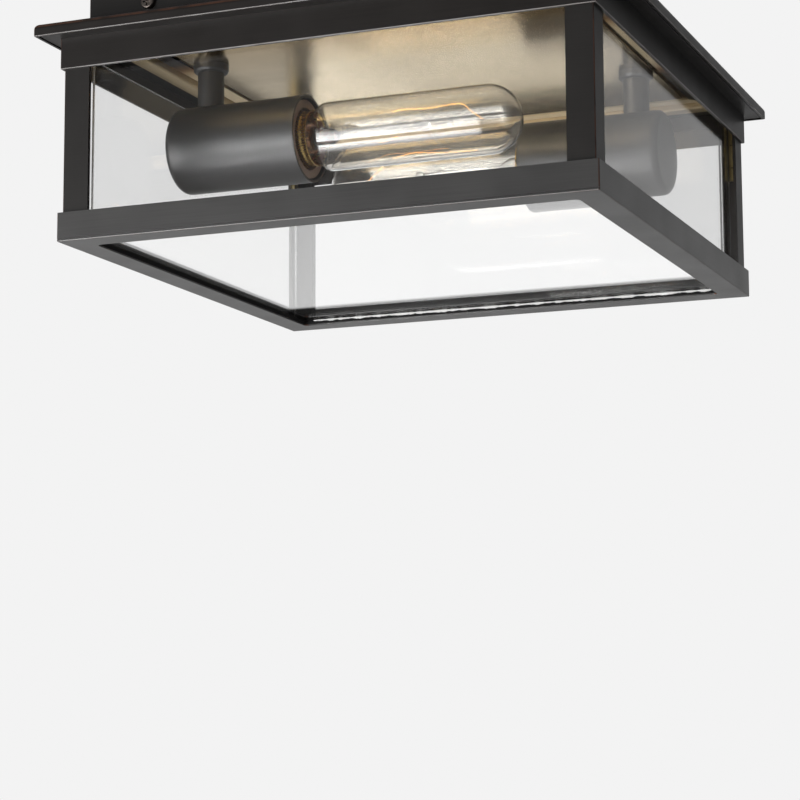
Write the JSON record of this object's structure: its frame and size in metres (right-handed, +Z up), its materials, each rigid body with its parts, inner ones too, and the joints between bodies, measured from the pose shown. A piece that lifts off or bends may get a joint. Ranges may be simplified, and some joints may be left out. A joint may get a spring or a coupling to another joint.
{
  "type": "flush mount ceiling light",
  "caption": "Square flush mount lantern with a ceiling canopy, brass reflector, screw lampholders with tubular bulbs, and a glazed cage that slides down for relamping.",
  "frame": {"origin": "centre of the canopy's top face, on the ceiling, midway between the two slots for the junction box screws", "axes": "+Z up towards the ceiling, X along the front face and along the slots, -Y to the front"},
  "size_m": [0.267, 0.267, 0.1169],
  "materials": {
    "bronze": "satin dark bronze with rubbed edges",
    "reflector_brass": "satin brass",
    "lamp_brass": "bright brass",
    "zinc_steel": "zinc plated",
    "yellow_zinc": "yellow zinc plated",
    "screw_steel": "blackened steel",
    "earth_green": "green lacquer",
    "phenolic": "brown phenolic",
    "pane_glass": "clear float glass",
    "bulb_glass": "clear blown glass",
    "black_glass": "black glass",
    "solder": "solder",
    "filament": "glowing wire",
    "sealant": "clear to white silicone"
  },
  "bodies": {
    "canopy": {"canopy_box": "bronze", "grip_nuts": "zinc_steel", "grip_screws": "screw_steel", "earth_screw": "earth_green", "reflector_strip": "reflector_brass", "socket_plate": "reflector_brass", "plate_spacers": "zinc_steel", "plate_screws": "reflector_brass", "front_stem": "bronze", "front_ring": "bronze", "front_lock_nuts": "zinc_steel", "front_cup": "bronze", "front_bracket": "zinc_steel", "front_lampholder": "phenolic", "front_screw_shell": "lamp_brass", "front_centre_contact": "lamp_brass", "rear_stem": "bronze", "rear_ring": "bronze", "rear_lock_nuts": "zinc_steel", "rear_cup": "bronze", "rear_bracket": "zinc_steel", "rear_lampholder": "phenolic", "rear_screw_shell": "lamp_brass", "rear_centre_contact": "lamp_brass"},
    "cage": {"roof_plate": "bronze", "skirt": "bronze", "front_left_post": "bronze", "front_right_post": "bronze", "back_left_post": "bronze", "back_right_post": "bronze", "bottom_frame": "bronze", "front_pane": "pane_glass", "right_pane": "pane_glass", "back_pane": "pane_glass", "left_pane": "pane_glass", "bottom_glass": "pane_glass", "sealant": "sealant", "pane_clips": "bronze", "side_clips": "yellow_zinc"},
    "front_bulb_seat": {"front_bulb_contact": "solder"},
    "front_bulb": {"front_bulb_insulator": "black_glass", "front_bulb_cap": "lamp_brass", "front_bulb_glass": "bulb_glass", "front_bulb_mount": "bulb_glass", "front_filament": "filament"},
    "rear_bulb_seat": {"rear_bulb_contact": "solder"},
    "rear_bulb": {"rear_bulb_insulator": "black_glass", "rear_bulb_cap": "lamp_brass", "rear_bulb_glass": "bulb_glass", "rear_bulb_mount": "bulb_glass", "rear_filament": "filament"}
  },
  "joints": [
    {"name": "cage_drop", "type": "slide", "parent": "canopy", "child": "cage", "axis": [0, 0, -1], "range_m": [0, 0.1]},
    {"name": "front_bulb_travel", "type": "slide", "parent": "canopy", "child": "front_bulb_seat", "axis": [1, 0, 0], "range_m": [0, 0.02]},
    {"name": "front_bulb_turn", "type": "hinge", "parent": "front_bulb_seat", "child": "front_bulb", "pos_m": [0, -0.044, -0.06], "axis": [1, 0, 0], "range_deg": [0, 1980]},
    {"name": "rear_bulb_travel", "type": "slide", "parent": "canopy", "child": "rear_bulb_seat", "axis": [-1, 0, 0], "range_m": [0, 0.02]},
    {"name": "rear_bulb_turn", "type": "hinge", "parent": "rear_bulb_seat", "child": "rear_bulb", "pos_m": [0, 0.044, -0.06], "axis": [-1, 0, 0], "range_deg": [0, 1980]}
  ],
  "couplings": [
    {"joint": "front_bulb_travel", "follows": "front_bulb_turn", "m_per_rad": 0.00057751},
    {"joint": "rear_bulb_travel", "follows": "rear_bulb_turn", "m_per_rad": 0.00057751}
  ]
}
